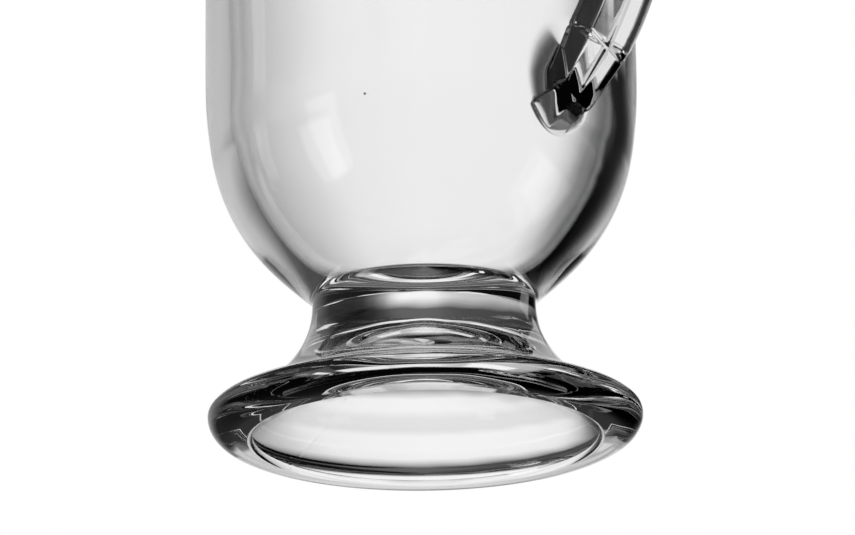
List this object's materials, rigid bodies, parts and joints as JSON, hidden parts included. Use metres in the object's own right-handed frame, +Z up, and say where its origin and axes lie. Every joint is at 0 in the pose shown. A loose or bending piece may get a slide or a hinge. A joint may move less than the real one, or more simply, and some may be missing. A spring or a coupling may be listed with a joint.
{
  "type": "glass mug",
  "caption": "Footed clear glass mug for hot drinks: straight round bowl on a narrow neck, flared hollow pedestal foot, and a faceted side handle joined to the wall by two pads.",
  "frame": {"origin": "on the surface that the mug stands on, under the middle of the whole mug's box; the bowl's axis is 16 mm towards -X from it", "axes": "+Z up along the bowl's axis, +X from the bowl's axis towards the handle, +Y across the handle"},
  "size_m": [0.108, 0.0762, 0.138],
  "materials": {
    "bowl_glass": "clear soda-lime glass, polished",
    "foot_glass": "clear soda-lime glass, pressed",
    "handle_glass": "clear soda-lime glass, pressed facets",
    "pad_glass": "clear soda-lime glass, fused joint"
  },
  "bodies": {
    "root": {"bowl": "bowl_glass", "pedestal_foot": "foot_glass", "handle": "handle_glass", "lower_handle_pad": "pad_glass", "upper_handle_pad": "pad_glass"}
  },
  "joints": []
}
